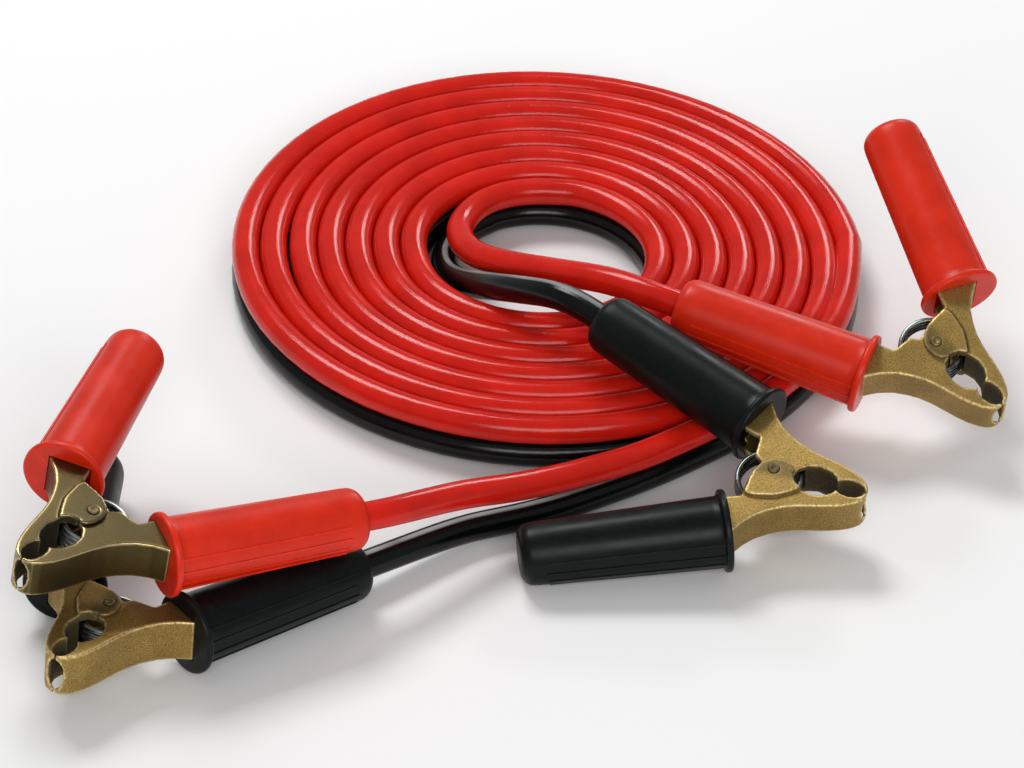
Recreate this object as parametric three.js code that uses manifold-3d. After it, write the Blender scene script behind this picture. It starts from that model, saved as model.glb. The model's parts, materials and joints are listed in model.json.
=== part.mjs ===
// A twin jumper cable for a car: red over black, laid as a flat spiral, with four brass clamps.
// Millimetres, +Z up, floor at Z 0. The origin is on the floor below the middle of the four clamps.

import * as THREE from "three";
import { mergeVertices } from "three/addons/utils/BufferGeometryUtils.js";
import Module from "manifold-3d";

const wasm = await Module();
wasm.setup();

// Gaps between touching pieces, and between pieces that turn on each other
const seatGap = 0.3;
const pivotGap = 0.5;
const meetingGap = 0.15;

// Twin cable
const cableDiameter = 11.4;
const turnPitch = 11.6;
const coilTurns = 7;
const outerTurnRadius = 127;
const coilMiddle = { x: 2.9, y: 2.9 };
const turnFlatWidth = 3.9;
const valleyDepth = 2.8;
const coilFacets = 32;
const leadFacets = 8;
const leadSteps = 16;
const leadGuides = [10, 3, -6];
const leadStopGap = 3;

// Cast brass halves, in the clamp's own frame: X to the tip, Z along the rivet, cable half at +Y
const brassWidth = 17.4;
const sideWall = 2.5;
const webThickness = 2.4;
const tipReach = 37.6;
const tipSlotHalfHeight = 6.9;
const tipSlotHalfWidth = 3.4;
const tipSlotDepth = 5;
const lugRadius = 6.6;
const earThickness = 1.4;
const largeHollow = { x: 16.8, halfLength: 9, halfHeight: 6.9 };
const smallHollow = { x: 30.4, halfLength: 6.2, halfHeight: 3.9 };
const springRoomRadius = 14.4;
const springRoomReach = 5.2;
const heelPoints = [
  [-8.9, 5.6],
  [-9.3, 14.6],
];
const backPoints = [
  [-4, 24.2],
  [1.5, 19.3],
  [8, 15.4],
  [15, 12.9],
  [22, 11.2],
  [29.2, 8.8],
  [34.3, 6],
  [36.8, 3.4],
];
const earPoints = [
  [12.6, 5.4],
  [9, 8.4],
  [3.4, 12],
  [-4.6, 14],
  [-8.5, 13.8],
  [-8.3, 8],
  [-7.6, 2.6],
  [-5.8, -1.4],
  [-3, -4.1],
  [0.2, -5.1],
  [3.6, -4.9],
  [6.6, -3.6],
  [8.6, -1.2],
  [9.4, 2],
];

// Rivet
const rivetDiameter = 3.4;
const rivetHeadDiameter = 4.6;
const rivetHeadHeight = 0.4;

// Torsion spring
const springWire = 2.3;
const springRadius = 12.3;
const springMiddle = -1.7;
const springTurns = 3;
const springPitch = 2.6;
const springSteps = 11;
const springFacets = 6;
const springLegAngle = 138.3;
const springLegLength = 20;

// Grips, with their axis in the clamp's frame
const gripLength = 82;
const gripFrontDiameter = 28.2;
const gripEndDiameter = 24.4;
const gripEndRound = 4.5;
const flangeDiameter = 32.6;
const flangeThickness = 2.8;
const gripFacets = 18;
const flangeCentre = { x: -11.3, y: 26.4 };
const gripAngle = 155.8;
const cableEntryGap = 0.5;

// Brass neck at a grip's flange, and the brass handle inside the grip
const neckInside = 10.4;
const neckOutside = 6.2;
const neckEntry = 1.8;
const handleInside = 6.8;
const handleWidth = 15;
const handleWall = 2.2;
const handleLength = 46;

// How each clamp lies: its rivet's middle, the heading of its tip, its dip and its roll in degrees
const clampLies = {
  black_near: { x: 93.6, y: -159.3, z: 25.5, heading: -14.2, dip: 1.9, roll: 15.9 },
  red_far: { x: 158.8, y: -84.6, z: 37, heading: -42.2, dip: 16.6, roll: -161 },
  red_left: { x: -165.2, y: -237.3, z: 50.4, heading: -129.2, dip: -1.5, roll: -9 },
  black_left: { x: -157.4, y: -255.2, z: 19.5, heading: -116.6, dip: -4.7, roll: -0.4 },
};

// Free ends of the cable, from the coil to the mouth of a grip
const leadRoutes = {
  red_lead_inner: {
    clamp: "red_far",
    points: [
      [-39.4, 19.9, 17.6],
      [-36.9, 12.2, 17.9],
      [-35.2, 4.2, 19],
      [-31.9, -4.6, 21.2],
      [-26.4, -14.6, 24.5],
      [-17.3, -24.1, 28.5],
      [-3.6, -33.1, 32.8],
      [10.8, -43, 38],
      [28.5, -54, 43.3],
    ],
  },
  black_lead_inner: {
    clamp: "black_near",
    points: [
      [-42.4, 3, 5.8],
      [-38.4, -10, 9.3],
      [-31.5, -21.7, 15.5],
      [-23.5, -33.9, 23.5],
      [-13.9, -47.2, 32.5],
      [-3.3, -59.8, 40.6],
      [6.8, -69.2, 46.2],
    ],
  },
  red_lead_outer: {
    clamp: "red_left",
    points: [
      [55.2, -125.6, 17.6],
      [39, -137.4, 17.6],
      [24, -146.6, 18.6],
      [8, -156.6, 20.4],
      [-9, -168.2, 24.4],
      [-26, -179.5, 29.5],
    ],
  },
  black_lead_outer: {
    clamp: "black_left",
    points: [
      [55.2, -125.6, 5.8],
      [39, -137.4, 5.8],
      [24, -147, 5.8],
      [8, -157, 5.9],
      [-9, -165.6, 6.5],
      [-26, -174.5, 8],
    ],
  },
};

const sheathFinish = { roughness: 0.2, metalness: 0 };
const gripFinish = { roughness: 0.45, metalness: 0 };
const redSheath = new THREE.MeshStandardMaterial({ color: 0xc5281f, ...sheathFinish });
const blackSheath = new THREE.MeshStandardMaterial({ color: 0x101413, ...sheathFinish });
const redGrip = new THREE.MeshStandardMaterial({ color: 0xd8331c, ...gripFinish });
const blackGrip = new THREE.MeshStandardMaterial({ color: 0x141a19, ...gripFinish });
const brass = new THREE.MeshStandardMaterial({ color: 0x9a7a3a, roughness: 0.45, metalness: 1 });
const rivetMetal = new THREE.MeshStandardMaterial({ color: 0x6f5f38, roughness: 0.5, metalness: 1 });
const zinc = new THREE.MeshStandardMaterial({ color: 0x9aa3a0, roughness: 0.3, metalness: 1 });

const radians = THREE.MathUtils.degToRad;
const vec = (x, y) => new THREE.Vector2(x, y);

// A three.js geometry as a closed solid.
function solid(geometry) {
  const bare = geometry.clone();
  bare.deleteAttribute("normal");
  bare.deleteAttribute("uv");
  const merged = mergeVertices(bare, 1e-4);
  return new wasm.Manifold(
    new wasm.Mesh({
      numProp: 3,
      vertProperties: new Float32Array(merged.attributes.position.array),
      triVerts: new Uint32Array(merged.index.array),
    }),
  );
}

// A closed solid as a named mesh.
function meshOf(name, made, material) {
  const { vertProperties, triVerts } = made.getMesh();
  const geometry = new THREE.BufferGeometry();
  geometry.setAttribute("position", new THREE.BufferAttribute(vertProperties, 3));
  geometry.setIndex(new THREE.BufferAttribute(triVerts, 1));
  geometry.computeVertexNormals();
  const mesh = new THREE.Mesh(geometry, material.clone());
  mesh.name = name;
  return mesh;
}

function arc(radius, fromDegrees, toDegrees, steps) {
  return Array.from({ length: steps + 1 }, (_, i) => {
    const angle = radians(fromDegrees + ((toDegrees - fromDegrees) * i) / steps);
    return vec(radius * Math.cos(angle), radius * Math.sin(angle));
  });
}

// A side profile spread over z. Side is 1 for the cable half and -1 for the free half.
function plate(points, low, high, side = 1) {
  const shape = new THREE.Shape(points.map((p) => vec(p.x, side * p.y)));
  const geometry = new THREE.ExtrudeGeometry(shape, { depth: high - low, bevelEnabled: false });
  geometry.translate(0, 0, low);
  return solid(geometry);
}

const gripAxis = vec(Math.cos(radians(gripAngle)), Math.sin(radians(gripAngle)));
const gripAcross = vec(gripAxis.y, -gripAxis.x);

// A point by the grip of the cable half: s along its axis from its front face, n across, outwards.
function byGrip(s, n) {
  return vec(flangeCentre.x, flangeCentre.y).addScaledVector(gripAxis, s).addScaledVector(gripAcross, n);
}

// A block by the grip: from s0 to s1 along it, n0 to n1 across it, and width over z.
function gripBlock(s0, s1, n0, n1, width, side) {
  const corners = [byGrip(s0, n0), byGrip(s1, n0), byGrip(s1, n1), byGrip(s0, n1)];
  return plate(corners, -width / 2, width / 2, side);
}

// A pin along the rivet's axis.
function pin(diameter, length, middle = 0) {
  const geometry = new THREE.CylinderGeometry(diameter / 2, diameter / 2, length, 12);
  geometry.rotateX(Math.PI / 2);
  geometry.translate(0, 0, middle);
  return solid(geometry);
}

const halfWidth = brassWidth / 2;
const innerHalfWidth = halfWidth - sideWall;
const earInside = halfWidth + seatGap;
const earOutside = earInside + earThickness;
const cutHalfWidth = 2 * earOutside;
const far = 3 * tipReach;

const outline = (pairs) => pairs.map(([x, y]) => vec(x, y));

// The back of a half, from its neck at the flange to its tip
const backCurve = new THREE.SplineCurve([
  byGrip(0, neckOutside),
  ...outline(backPoints),
  vec(tipReach, meetingGap),
]);
const back = backCurve.getPoints(12);

// The inner edge of a half behind its lug, up to its neck
const heel = [...outline(heelPoints), byGrip(0, -neckInside)];

const mouthEnd = vec(largeHollow.x - largeHollow.halfLength + 0.1, meetingGap);
const lug = arc(lugRadius, -4, -210, 9);
const lugRelief = arc(lugRadius + pivotGap, 2, 148, 7);
const cableOutline = [...back, mouthEnd, ...lug, ...heel];
const freeOutline = [...back, mouthEnd, ...lugRelief, ...heel];

// The ear on the free half, drawn as if that half were at +Y
const earOutline = outline(earPoints);

// Both hollows of the mouth, cut through both halves.
function mouth(side) {
  const hollows = [largeHollow, smallHollow].map(({ x, halfLength, halfHeight }) =>
    plate(
      arc(1, 0, 360, 12)
        .slice(0, -1)
        .map((p) => vec(x + halfLength * p.x, halfHeight * p.y)),
      -cutHalfWidth,
      cutHalfWidth,
      side,
    ),
  );
  return hollows[0].add(hollows[1]);
}

// The eye between the two tips, seen from the front.
function tipSlot() {
  const rim = arc(1, 0, 360, 12)
    .slice(0, -1)
    .map((p) => vec(tipSlotHalfHeight * p.x, tipSlotHalfWidth * p.y));
  const geometry = new THREE.ExtrudeGeometry(new THREE.Shape(rim), {
    depth: 2 * tipSlotDepth,
    bevelEnabled: false,
  });
  geometry.rotateY(Math.PI / 2);
  geometry.translate(tipReach - tipSlotDepth, 0, 0);
  return solid(geometry);
}

// The room inside a half's back, between its side walls. It ends where the spring's turns end.
function channel(side) {
  const inner = back.map((p, i) => {
    const along = back[Math.min(i + 1, back.length - 1)].clone().sub(back[Math.max(i - 1, 0)]);
    along.normalize();
    return p.clone().add(vec(along.y, -along.x).multiplyScalar(webThickness));
  });
  const underBack = [
    byGrip(neckEntry + 1, neckOutside - webThickness),
    ...inner,
    vec(inner.at(-1).x, -far),
    byGrip(neckEntry + 1, -far),
  ];
  const legRoom = [vec(-far, -far), vec(springRoomReach, -far), vec(springRoomReach, far), vec(-far, far)];
  const turnRoom = arc(springRoomRadius, 0, 360, 20)
    .slice(0, -1)
    .map((p) => vec(p.x + springMiddle, p.y));
  const allowed = plate(legRoom, -far, far, side).add(plate(turnRoom, -far, far, side));
  return plate(underBack, -innerHalfWidth, innerHalfWidth, side).intersect(allowed);
}

// The neck at the flange and the channel-shaped handle inside the grip.
function handle(side) {
  const neck = gripBlock(-0.5, neckEntry, -neckInside, neckOutside, brassWidth, side);
  const stem = gripBlock(0, handleLength, -handleInside, neckOutside, handleWidth, side);
  return neck.add(stem);
}

function handleHollow(side) {
  const hollowWidth = handleWidth - 2 * handleWall;
  return gripBlock(0, handleLength + 1, -2 * neckInside, neckOutside - handleWall, hollowWidth, side);
}

const rivetBore = () => pin(rivetDiameter + 2 * seatGap, 2 * cutHalfWidth);

function jaw(outline, side) {
  return plate(outline, -halfWidth, halfWidth, side)
    .add(handle(side))
    .subtract(channel(side))
    .subtract(handleHollow(side))
    .subtract(mouth(side))
    .subtract(tipSlot());
}

function cableJaw() {
  return jaw(cableOutline, 1).subtract(rivetBore());
}

// The ears stand outside the other half's lug, on pads that are part of this half's walls.
function ears(side) {
  const belowMeeting = [vec(-far, 1), vec(-far, -far), vec(far, -far), vec(far, 1)];
  const reliefRing = arc(lugRadius + pivotGap, 0, 360, 18).slice(0, -1);
  const inside = [vec(-far, -far), vec(far, -far), vec(far, far), vec(-far, far)];
  return plate(earOutline, -earOutside, earOutside, side)
    .subtract(plate(belowMeeting, -earInside, earInside, side))
    .subtract(plate(reliefRing, -earInside, earInside, side))
    .subtract(plate(inside, -innerHalfWidth, innerHalfWidth, side))
    .subtract(mouth(side));
}

function freeJaw() {
  return jaw(freeOutline, -1).add(ears(-1)).subtract(rivetBore());
}

function rivet() {
  const headMiddle = earOutside + seatGap + rivetHeadHeight / 2;
  return pin(rivetDiameter, 2 * headMiddle)
    .add(pin(rivetHeadDiameter, rivetHeadHeight, headMiddle))
    .add(pin(rivetHeadDiameter, rivetHeadHeight, -headMiddle));
}

// A round bar along the points.
function bar(points, diameter, facets, steps) {
  const section = new THREE.Shape(arc(diameter / 2, 0, 360, facets).slice(0, -1));
  const path = new THREE.CatmullRomCurve3(points, false, "centripetal");
  return solid(new THREE.ExtrudeGeometry(section, { steps, bevelEnabled: false, extrudePath: path }));
}

// The spring's turns lie round the rivet, and its legs run back along the insides of the two halves.
function spring() {
  const firstAngle = springLegAngle - 90;
  const sweep = springTurns * 360 + 2 * firstAngle;
  const steps = Math.round((springSteps * sweep) / 360);
  const height = (springPitch * sweep) / 360;
  const points = Array.from({ length: steps + 1 }, (_, i) => {
    const angle = radians(firstAngle - (sweep * i) / steps);
    const z = height * (i / steps - 0.5);
    const x = springMiddle + springRadius * Math.cos(angle);
    return new THREE.Vector3(x, springRadius * Math.sin(angle), z);
  });
  const legX = springLegLength * Math.cos(radians(springLegAngle));
  const legY = springLegLength * Math.sin(radians(springLegAngle));
  const first = points[0].clone().add(new THREE.Vector3(legX, legY, 0));
  const last = points.at(-1).clone().add(new THREE.Vector3(legX, -legY, 0));
  return bar([first, ...points, last], springWire, springFacets, steps + 5);
}

// A grip is turned about its axis. Only the cable half's grip is open at its end.
function grip(side) {
  const endRadius = gripEndDiameter / 2;
  const shoulder = arc(gripEndRound, 0, 90, 3).map((p) =>
    vec(endRadius - gripEndRound + p.x, gripLength - gripEndRound + p.y),
  );
  const profile = [
    vec(0, 0),
    vec(flangeDiameter / 2, 0),
    vec(flangeDiameter / 2, flangeThickness),
    vec(gripFrontDiameter / 2, flangeThickness),
    ...shoulder,
    vec(0, gripLength),
  ];
  const neckPocket = gripBlock(
    -1,
    neckEntry + seatGap,
    -neckInside - seatGap,
    neckOutside + seatGap,
    brassWidth + 2 * seatGap,
    side,
  );
  const stemPocket = gripBlock(
    0,
    handleLength + seatGap,
    -handleInside - seatGap,
    neckOutside + seatGap,
    handleWidth + 2 * seatGap,
    side,
  );
  const body = alongGrip(new THREE.LatheGeometry(profile, gripFacets), side)
    .subtract(neckPocket)
    .subtract(stemPocket);
  if (side < 0) {
    return body;
  }
  const entryLength = gripLength - handleLength + 2;
  const entryRadius = cableDiameter / 2 + cableEntryGap;
  const entry = new THREE.CylinderGeometry(entryRadius, entryRadius, entryLength, 12);
  entry.translate(0, handleLength - 1 + entryLength / 2, 0);
  return body.subtract(alongGrip(entry, side));
}

// Lays a geometry that stands on the Y axis along the grip of one half.
function alongGrip(geometry, side) {
  geometry.rotateZ(side * radians(gripAngle) - Math.PI / 2);
  geometry.translate(flangeCentre.x, side * flangeCentre.y, 0);
  return solid(geometry);
}

// A turned ring of the coil's outer shape. Its turns show above, and it is flat where it lies on
// the floor or on the other ring.
function coilRing(middleHeight) {
  const radius = cableDiameter / 2;
  const valleyHeight = radius - valleyDepth;
  const turns = Array.from({ length: coilTurns }, (_, i) => outerTurnRadius - i * turnPitch);
  const top = turns.flatMap((r) => [
    vec(r + turnPitch / 2, valleyHeight),
    vec(r + turnFlatWidth / 2, radius),
    vec(r - turnFlatWidth / 2, radius),
  ]);
  const outerEdge = turns[0] + turnPitch / 2;
  const innerEdge = turns.at(-1) - turnPitch / 2;
  const profile = [
    vec(innerEdge, valleyHeight),
    vec(innerEdge, -valleyHeight),
    vec(innerEdge + valleyDepth, -radius),
    vec(outerEdge - valleyDepth, -radius),
    vec(outerEdge, -valleyHeight),
    ...top,
    vec(innerEdge, valleyHeight),
  ];
  const geometry = new THREE.LatheGeometry(profile, coilFacets);
  geometry.rotateX(Math.PI / 2);
  geometry.translate(coilMiddle.x, coilMiddle.y, middleHeight);
  return solid(geometry);
}

function clampGroup(prefix, { x, y, z, heading, dip, roll }, gripMaterial) {
  const group = new THREE.Group();
  group.position.set(x, y, z);
  group.rotation.set(radians(roll), radians(dip), radians(heading), "ZYX");
  group.add(
    meshOf(`${prefix}_cable_jaw`, cableJaw(), brass),
    meshOf(`${prefix}_free_jaw`, freeJaw(), brass),
    meshOf(`${prefix}_rivet`, rivet(), rivetMetal),
    meshOf(`${prefix}_spring`, spring(), zinc),
    meshOf(`${prefix}_cable_grip`, grip(1), gripMaterial),
    meshOf(`${prefix}_free_grip`, grip(-1), gripMaterial),
  );
  group.updateMatrixWorld(true);
  return group;
}

// A lead runs along its route and then straight into the grip of its clamp.
function lead(route, clamp) {
  const stations = [...leadGuides.map((ahead) => gripLength + ahead), handleLength + leadStopGap];
  const inGrip = stations.map((s) => {
    const p = byGrip(s, 0);
    return clamp.localToWorld(new THREE.Vector3(p.x, p.y, 0));
  });
  const points = [...route.map((p) => new THREE.Vector3(...p)), ...inGrip];
  return bar(points, cableDiameter, leadFacets, leadSteps);
}

const model = new THREE.Group();
const clamps = {};
for (const [prefix, lie] of Object.entries(clampLies)) {
  clamps[prefix] = clampGroup(prefix, lie, prefix.startsWith("red") ? redGrip : blackGrip);
  model.add(clamps[prefix]);
}

// The model is moved sideways so that the middle of the clamps' box is over the origin.
const clampsBox = new THREE.Box3().setFromObject(model, true);
const clampsMiddle = clampsBox.getCenter(new THREE.Vector3());

const blackHeight = cableDiameter / 2;
const redHeight = blackHeight + cableDiameter + seatGap;
model.add(meshOf("black_coil", coilRing(blackHeight), blackSheath));
model.add(meshOf("red_coil", coilRing(redHeight), redSheath));
for (const [name, { clamp, points }] of Object.entries(leadRoutes)) {
  model.add(meshOf(name, lead(points, clamps[clamp]), name.startsWith("red") ? redSheath : blackSheath));
}

model.position.set(-clampsMiddle.x, -clampsMiddle.y, 0);
const root = new THREE.Group();
root.add(model);

export default root;
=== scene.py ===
import json
import math

import bmesh
import bpy
import numpy as np
from mathutils import Matrix, Vector


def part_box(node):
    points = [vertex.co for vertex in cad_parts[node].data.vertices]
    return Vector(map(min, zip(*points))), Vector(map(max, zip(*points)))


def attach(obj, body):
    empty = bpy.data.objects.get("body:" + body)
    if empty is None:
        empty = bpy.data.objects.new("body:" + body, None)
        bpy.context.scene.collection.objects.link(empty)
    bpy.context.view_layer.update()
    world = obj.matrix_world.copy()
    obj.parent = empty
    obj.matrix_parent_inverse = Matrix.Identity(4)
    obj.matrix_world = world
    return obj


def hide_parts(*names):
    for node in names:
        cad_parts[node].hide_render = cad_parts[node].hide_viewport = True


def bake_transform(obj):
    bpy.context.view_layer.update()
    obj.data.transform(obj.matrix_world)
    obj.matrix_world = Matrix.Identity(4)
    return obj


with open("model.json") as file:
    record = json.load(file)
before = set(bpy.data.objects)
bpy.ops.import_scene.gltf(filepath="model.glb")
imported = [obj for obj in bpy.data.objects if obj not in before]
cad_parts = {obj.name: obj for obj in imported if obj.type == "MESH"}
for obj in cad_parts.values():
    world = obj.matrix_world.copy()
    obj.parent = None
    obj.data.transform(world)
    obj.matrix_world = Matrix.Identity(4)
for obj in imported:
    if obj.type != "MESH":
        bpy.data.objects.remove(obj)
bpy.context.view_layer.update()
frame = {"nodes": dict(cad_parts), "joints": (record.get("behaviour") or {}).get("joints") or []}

bl_info = {
    "name": "Car Jumper Cable",
    "version": (1, 0, 0),
    "blender": (4, 5, 0),
    "location": "View3D > Sidebar > Jumper Cable",
    "description": "Dresses a coiled twin jumper cable with its four sprung brass clamps",
    "category": "Object",
}

MM = 0.001
ROOT_BODY = "cable_and_cable_halves"
CLAMP_NAMES = ("black_near", "red_far", "red_left", "black_left")
CLAMP_TURNS = {
    "black_near": (-14.2, 1.9, 15.9),
    "red_far": (-42.2, 16.6, -161.0),
    "red_left": (-129.2, -1.5, -9.0),
    "black_left": (-116.6, -4.7, -0.4),
}
PIVOTS = {j["name"].removesuffix("_pivot"): Vector(j["pos_m"]) for j in frame["joints"]}

# The spiral's centre lies a little beside the middle of the ring that stands for the coil.
RING_LOW, RING_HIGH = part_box("red_coil")
RING_OFFSET = 2.9 * MM
SPIRAL_CENTRE = (
    (RING_LOW.x + RING_HIGH.x) / 2 - RING_OFFSET,
    (RING_LOW.y + RING_HIGH.y) / 2 - RING_OFFSET,
)

# Leads in millimetres about the spiral's centre, from the coil to the mouth of a grip
INNER_RED = ((-36.9, 12.2, 17.9), (-35.2, 4.2, 19), (-31.9, -4.6, 21.2), (-26.4, -14.6, 24.5),
             (-17.3, -24.1, 28.5), (-3.6, -33.1, 32.8), (10.8, -43, 38), (28.5, -54, 43.3))
INNER_BLACK = ((-38.4, -10, 9.3), (-31.5, -21.7, 15.5), (-23.5, -33.9, 23.5), (-13.9, -47.2, 32.5),
               (-3.3, -59.8, 40.6), (6.8, -69.2, 46.2))
OUTER_RED = ((55.2, -125.6, 17.6), (39, -137.4, 17.6), (24, -146.6, 18.6), (8, -156.6, 20.4),
             (-9, -168.2, 24.4), (-26, -179.5, 29.5))
OUTER_BLACK = ((55.2, -125.6, 5.8), (39, -137.4, 5.8), (24, -147, 5.8), (8, -157, 5.9),
               (-9, -165.6, 6.5), (-26, -174.5, 8))
SPIRAL_START = math.radians(-48)
# A small opening between two turns, on the left and inside the second turn
SLACK_FROM = math.radians(2 * 360)
SLACK_ANGLE = math.radians(188)
SLACK_SPREAD = 17
SPIRAL_END = {"red": math.radians(7.36 * 360), "black": math.radians(7.48 * 360)}
STEPS_A_TURN = 72
LEAD_SPACING = 4 * MM
RED_HEIGHT, BLACK_HEIGHT = 17.3 * MM, 5.8 * MM

# Grip axis in the clamp's own frame, with the cable half at +Y
FLANGE_CENTRE = (-11.3 * MM, 26.4 * MM)
GRIP_ANGLE = math.radians(155.8)
HANDLE_LENGTH = 46 * MM
GRIP_LENGTH = 82 * MM


class CableSizes(bpy.types.PropertyGroup):
    """Sizes of the twin cable"""

    diameter: bpy.props.FloatProperty(
        name="Sheath diameter", description="Outside diameter of one conductor's sheath",
        default=11.4 * MM, min=0.006, max=0.02, unit="LENGTH", precision=4)
    pitch: bpy.props.FloatProperty(
        name="Turn pitch", description="Distance between neighbouring turns of the coil",
        default=11.6 * MM, min=0.006, max=0.03, unit="LENGTH", precision=4)
    slack: bpy.props.FloatProperty(
        name="Slack", description="Width of the small opening between two turns",
        default=0.9 * MM, min=0, max=0.003, unit="LENGTH", precision=4)
    outer_radius: bpy.props.FloatProperty(
        name="Outer turn", description="Radius of the spiral at its outer end",
        default=130 * MM, min=0.05, max=0.3, unit="LENGTH", precision=4)
    facets: bpy.props.IntProperty(
        name="Facets", description="Sides of the sheath's round section", default=48, min=8, max=96)


class CableColours(bpy.types.PropertyGroup):
    """Colours of the sheath and the grips"""

    red_sheath: bpy.props.FloatVectorProperty(
        name="Red sheath", description="Colour of the red conductor's sheath",
        subtype="COLOR", size=3, min=0, max=1, default=(0.68, 0.014, 0.006))
    black_sheath: bpy.props.FloatVectorProperty(
        name="Black sheath", description="Colour of the black conductor's sheath",
        subtype="COLOR", size=3, min=0, max=1, default=(0.0015, 0.0028, 0.0024))
    red_grip: bpy.props.FloatVectorProperty(
        name="Red grip", description="Colour of the red grips",
        subtype="COLOR", size=3, min=0, max=1, default=(0.72, 0.022, 0.003))
    black_grip: bpy.props.FloatVectorProperty(
        name="Black grip", description="Colour of the black grips",
        subtype="COLOR", size=3, min=0, max=1, default=(0.0022, 0.0048, 0.0042))
    brass: bpy.props.FloatVectorProperty(
        name="Brass", description="Colour of the cast brass",
        subtype="COLOR", size=3, min=0, max=1, default=(0.37, 0.248, 0.076))
    dull_brass: bpy.props.FloatVectorProperty(
        name="Dull brass", description="Colour of the smoother brass of the red clamp on the left",
        subtype="COLOR", size=3, min=0, max=1, default=(0.105, 0.080, 0.033))


class ClampSizes(bpy.types.PropertyGroup):
    """Sizes of the grips and springs"""

    grip_front: bpy.props.FloatProperty(
        name="Grip front", description="Diameter of a grip behind its flange",
        default=28.2 * MM, min=0.015, max=0.04, unit="LENGTH", precision=4)
    grip_end: bpy.props.FloatProperty(
        name="Grip end", description="Diameter of a grip at its far end",
        default=24.4 * MM, min=0.015, max=0.04, unit="LENGTH", precision=4)
    flange: bpy.props.FloatProperty(
        name="Flange", description="Diameter of a grip's flange",
        default=32.6 * MM, min=0.02, max=0.05, unit="LENGTH", precision=4)
    rib_count: bpy.props.IntProperty(
        name="Ribs", description="Fine raised lines on a grip's outer side", default=4, min=0,
        max=20)
    spring_wire: bpy.props.FloatProperty(
        name="Spring wire", description="Thickness of the spring's wire",
        default=2.3 * MM, min=0.0005, max=0.005, unit="LENGTH", precision=4)
    spring_radius: bpy.props.FloatProperty(
        name="Spring radius", description="Radius of the spring's turns to the middle of the wire",
        default=12.3 * MM, min=0.003, max=0.03, unit="LENGTH", precision=4)


class StageLook(bpy.types.PropertyGroup):
    """Camera and light"""

    focal_pixels: bpy.props.FloatProperty(
        name="Focal length in pixels", description="Focal length on a picture 1024 pixels wide",
        default=4699.8, min=500, max=20000)
    elevation: bpy.props.FloatProperty(
        name="Elevation", description="How far the camera looks down",
        default=math.radians(37.242), subtype="ANGLE")
    roll: bpy.props.FloatProperty(
        name="Roll", description="Turn of the camera about its view", default=math.radians(2.621),
        subtype="ANGLE")
    distance: bpy.props.FloatProperty(
        name="Distance", description="From the camera to its target", default=1.923584,
        unit="LENGTH", min=0.3, max=10)
    key_light: bpy.props.FloatProperty(
        name="Key light", description="Power of the main soft light", default=16.5, min=0, max=1000)


def clamp_matrix(name):
    heading, dip, roll = (math.radians(a) for a in CLAMP_TURNS[name])
    turn = (Matrix.Rotation(heading, 4, "Z") @ Matrix.Rotation(dip, 4, "Y")
            @ Matrix.Rotation(roll, 4, "X"))
    return Matrix.Translation(PIVOTS[name]) @ turn


def grip_matrix(side):
    """From a grip's own frame, X along it from its front face and Y outwards, to its clamp's."""
    along = Vector((math.cos(GRIP_ANGLE), side * math.sin(GRIP_ANGLE), 0))
    across = Vector((math.sin(GRIP_ANGLE), -side * math.cos(GRIP_ANGLE), 0))
    up = along.cross(across)
    m = Matrix((along, across, up)).transposed().to_4x4()
    m.translation = (FLANGE_CENTRE[0], side * FLANGE_CENTRE[1], 0)
    return m


def new_object(name, mesh):
    obj = bpy.data.objects.new(name, mesh)
    bpy.context.scene.collection.objects.link(obj)
    return obj


def drop(*objects):
    for obj in objects:
        bpy.data.objects.remove(obj)


def shade_smooth(mesh):
    mesh.polygons.foreach_set("use_smooth", np.ones(len(mesh.polygons), bool))


def points_of(mesh):
    co = np.empty(len(mesh.vertices) * 3, np.float32)
    mesh.vertices.foreach_get("co", co)
    return co.reshape(-1, 3).astype(float)


def set_points(mesh, co):
    mesh.vertices.foreach_set("co", np.asarray(co, np.float32).ravel())
    mesh.update()


def store(mesh, name, values):
    attribute = mesh.attributes.get(name) or mesh.attributes.new(name, "FLOAT", "POINT")
    attribute.data.foreach_set("value", np.asarray(values, np.float32))


def smoothstep(x, low, high):
    t = np.clip((x - low) / (high - low), 0, 1)
    return t * t * (3 - 2 * t)


def evaluated_mesh(obj):
    """The object's mesh with its modifiers in it. The modifiers are removed."""
    depsgraph = bpy.context.evaluated_depsgraph_get()
    depsgraph.update()
    mesh = bpy.data.meshes.new_from_object(obj.evaluated_get(depsgraph))
    obj.modifiers.clear()
    return mesh


def edge_ends(mesh):
    edges = np.empty(len(mesh.edges) * 2, np.int32)
    mesh.edges.foreach_get("vertices", edges)
    return edges.reshape(-1, 2)


def store_edge_wear_and_highlight(mesh):
    """Marks how far each point stands out of its neighbours, for worn edges and painted edge
    highlights.
    """
    co = points_of(mesh)
    normals = np.array([v.normal for v in mesh.vertices])
    a, b = edge_ends(mesh).T
    apart = co[b] - co[a]
    length = np.linalg.norm(apart, axis=1) + 1e-9
    out = np.zeros(len(co))
    count = np.zeros(len(co))
    np.add.at(out, a, -(apart * normals[a]).sum(1) / length**2)
    np.add.at(out, b, (apart * normals[b]).sum(1) / length**2)
    np.add.at(count, a, 1)
    np.add.at(count, b, 1)
    bend = out / np.maximum(count, 1)
    for _ in range(3):
        total = bend.copy()
        np.add.at(total, a, bend[b])
        np.add.at(total, b, bend[a])
        bend = total / (count + 1)
    store(mesh, "edge_wear", np.clip(bend * MM * 2.2, 0, 1))
    store(mesh, "edge_dip", np.clip(-bend * MM * 2.2, 0, 1))


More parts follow.
